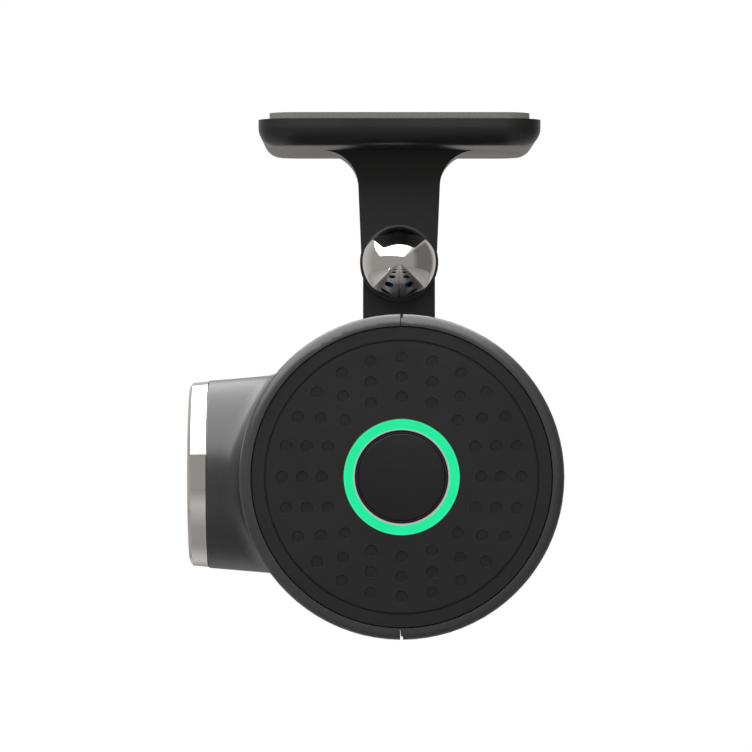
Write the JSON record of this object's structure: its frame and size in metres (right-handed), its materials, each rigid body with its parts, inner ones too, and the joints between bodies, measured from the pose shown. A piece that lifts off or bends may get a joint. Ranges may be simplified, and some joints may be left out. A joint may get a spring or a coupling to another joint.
{
  "type": "dash camera",
  "caption": "Cylindrical dash camera with a side lens barrel, an end push button in a light ring, and a tilting adhesive windscreen mount.",
  "frame": {"origin": "centre of the adhesive face that meets the windscreen", "axes": "+Z out of the adhesive face towards the glass, -X the way the lens looks, +Y along the case from the button end to the speaker end"},
  "size_m": [0.0419, 0.128, 0.0608],
  "materials": {
    "satin_abs": "satin",
    "foam_tape": "foam",
    "chrome_plate": "polished",
    "screw_steel": "plated",
    "washer_fibre": "fibre",
    "opal_diffuser": "glowing diffuser",
    "button_plastic": "satin",
    "optical_glass": "coated",
    "lens_black": "black anodised",
    "circuit_board": "solder mask",
    "chip_resin": "moulded",
    "chassis_plastic": "moulded",
    "blue_heat_sink": "dark blue anodised",
    "capacitor_sleeve": "sleeve",
    "shield_can": "tinned",
    "led_resin": "clear",
    "thermal_silicone": "soft",
    "speaker_frame": "moulded"
  },
  "bodies": {
    "mount": {"mount_bracket": "satin_abs", "adhesive_pad": "foam_tape", "mount_cover": "satin_abs", "cover_screws": "screw_steel", "hinge_pin": "screw_steel", "hinge_nut": "screw_steel", "hinge_cap_front": "chrome_plate", "hinge_cap_back": "chrome_plate", "friction_washers": "washer_fibre"},
    "camera": {"lower_arm": "satin_abs", "arm_screws": "screw_steel", "front_shell": "satin_abs", "rear_shell": "satin_abs", "lens_trim_ring": "chrome_plate", "cover_glass": "optical_glass", "lens_bezel": "satin_abs", "lens_barrel": "lens_black", "front_lens_element": "optical_glass", "inner_lens_element": "optical_glass", "lens_retaining_ring": "lens_black", "lens_holder": "chip_resin", "sensor_board": "circuit_board", "image_sensor": "chip_resin", "sensor_screws": "screw_steel", "button_end_cap": "satin_abs", "light_ring": "opal_diffuser", "button_guide": "satin_abs", "ring_board": "circuit_board", "ring_leds": "led_resin", "tact_switch": "chip_resin", "chassis": "chassis_plastic", "near_shell_screws": "screw_steel", "far_shell_screws": "screw_steel", "main_board": "circuit_board", "board_screws": "screw_steel", "processor": "chip_resin", "thermal_pad": "thermal_silicone", "heat_sink": "blue_heat_sink", "supercapacitors": "capacitor_sleeve", "wireless_module": "shield_can", "microphone": "shield_can", "card_socket": "shield_can", "usb_socket": "shield_can", "speaker_end_cap": "satin_abs", "speaker": "speaker_frame"},
    "button": {"button_cap": "button_plastic"},
    "card": {"memory_card": "chip_resin"}
  },
  "joints": [
    {"name": "arm_tilt", "type": "hinge", "parent": "mount", "child": "camera", "pos_m": [0, 0, -0.0177], "axis": [0, 1, 0], "range_deg": [-60, 60]},
    {"name": "button_press", "type": "slide", "parent": "camera", "child": "button", "axis": [0, 1, 0], "range_m": [0, 0.0004], "stiffness_N_per_m": 400, "springref_m": -0.001},
    {"name": "card_slide", "type": "slide", "parent": "camera", "child": "card", "axis": [1, 0, 0], "range_m": [0, 0.012]}
  ]
}
